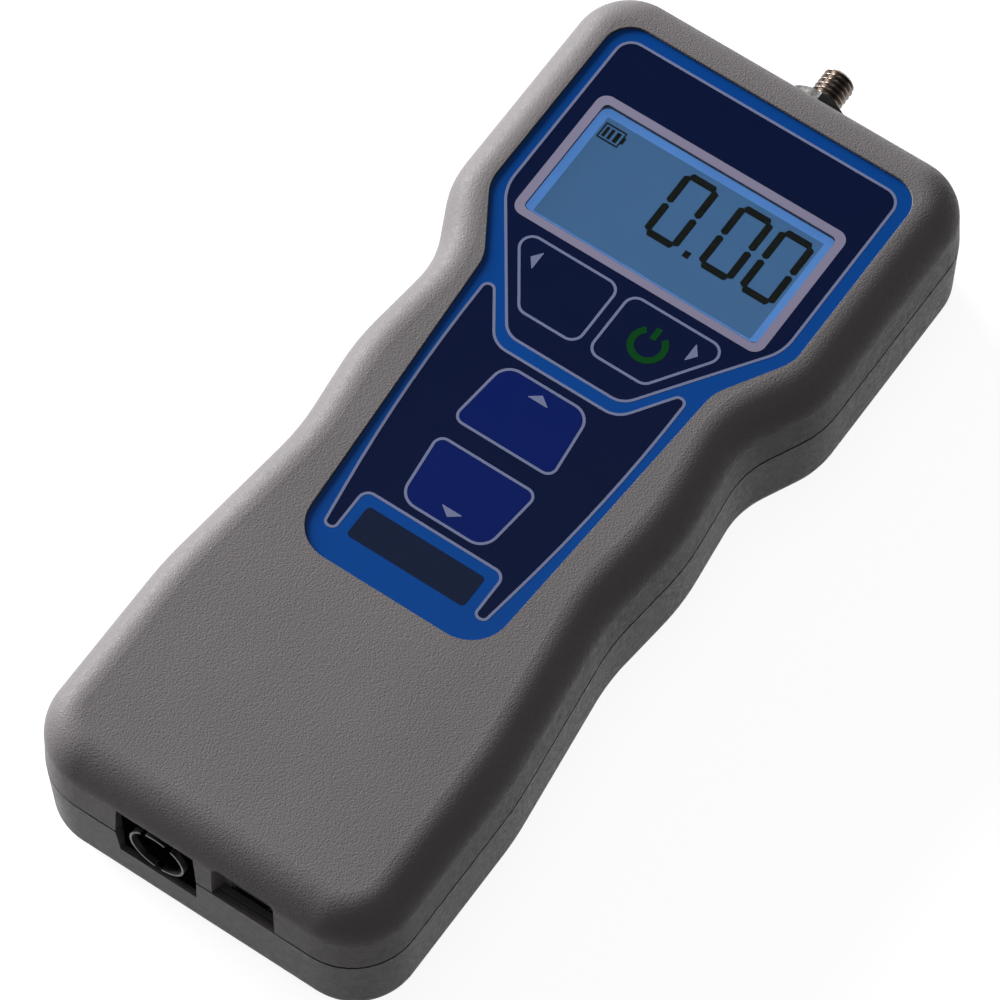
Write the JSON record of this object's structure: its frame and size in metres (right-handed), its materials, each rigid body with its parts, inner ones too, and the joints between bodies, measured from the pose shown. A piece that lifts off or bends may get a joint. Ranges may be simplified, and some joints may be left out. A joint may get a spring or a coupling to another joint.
{
  "type": "handheld digital force gauge",
  "caption": "Handheld digital force gauge with a waisted two-part casing, backlit display, film keypad, data sockets and a threaded measuring shaft with a hexagon nut.",
  "frame": {"origin": "centre of the four threaded mounting inserts, on the flat rear face", "axes": "+X across the case to the right seen from the front with the shaft up, +Y along the case towards the measuring shaft, +Z out of the front face with the display"},
  "size_m": [0.075, 0.186, 0.031],
  "materials": {
    "casing": "fine-grained satin",
    "film": "printed polyester",
    "key_film": "printed silicone",
    "window": "clear",
    "lcd_glass": "backlit liquid crystal",
    "light_guide": "milky",
    "white_plastic": "moulded",
    "board": "solder mask",
    "black_plastic": "moulded",
    "dark_button": "moulded",
    "zinc_screws": "zinc plated",
    "brass": "knurled",
    "plate": "milled",
    "cell": "anodised",
    "foil": "polyimide foil",
    "shaft_steel": "turned and polished",
    "nut_steel": "nickel plated",
    "battery": "shrink sleeve",
    "socket_metal": "nickel plated",
    "contacts": "gilt"
  },
  "bodies": {
    "housing": {"front_case": "casing", "rear_case": "casing", "keypad_overlay": "film", "display_window": "window", "lcd_frame": "white_plastic", "lcd_backlight": "light_guide", "lcd_glass": "lcd_glass", "main_board": "board", "board_chips": "black_plastic", "switch_bodies": "black_plastic", "board_screws": "zinc_screws", "case_screws": "zinc_screws", "chassis_screws": "zinc_screws", "load_cell_screws": "zinc_screws", "mounting_inserts": "brass", "battery_pack": "battery", "battery_cradle": "black_plastic", "chassis_plate": "plate", "load_cell": "cell", "strain_gauges": "foil", "serial_socket_body": "black_plastic", "serial_socket_shield": "socket_metal", "serial_socket_contacts": "contacts", "usb_socket_shell": "socket_metal", "usb_socket_tongue": "black_plastic"},
    "info_button": {"info_key": "key_film", "info_plunger": "dark_button"},
    "power_button": {"power_key": "key_film", "power_plunger": "dark_button"},
    "zero_button": {"zero_key": "key_film", "zero_plunger": "dark_button"},
    "send_button": {"send_key": "key_film", "send_plunger": "dark_button"},
    "shaft": {"measuring_shaft": "shaft_steel", "shaft_nut": "nut_steel"}
  },
  "joints": [
    {"name": "info_press", "type": "slide", "parent": "housing", "child": "info_button", "axis": [0, 0, -1], "range_m": [0, 0.0004], "stiffness_N_per_m": 4000},
    {"name": "power_press", "type": "slide", "parent": "housing", "child": "power_button", "axis": [0, 0, -1], "range_m": [0, 0.0004], "stiffness_N_per_m": 4000},
    {"name": "zero_press", "type": "slide", "parent": "housing", "child": "zero_button", "axis": [0, 0, -1], "range_m": [0, 0.0004], "stiffness_N_per_m": 4000},
    {"name": "send_press", "type": "slide", "parent": "housing", "child": "send_button", "axis": [0, 0, -1], "range_m": [0, 0.0004], "stiffness_N_per_m": 4000},
    {"name": "shaft_load", "type": "slide", "parent": "housing", "child": "shaft", "axis": [0, 1, 0], "range_m": [-0.0002, 0.0002], "stiffness_N_per_m": 4000}
  ]
}
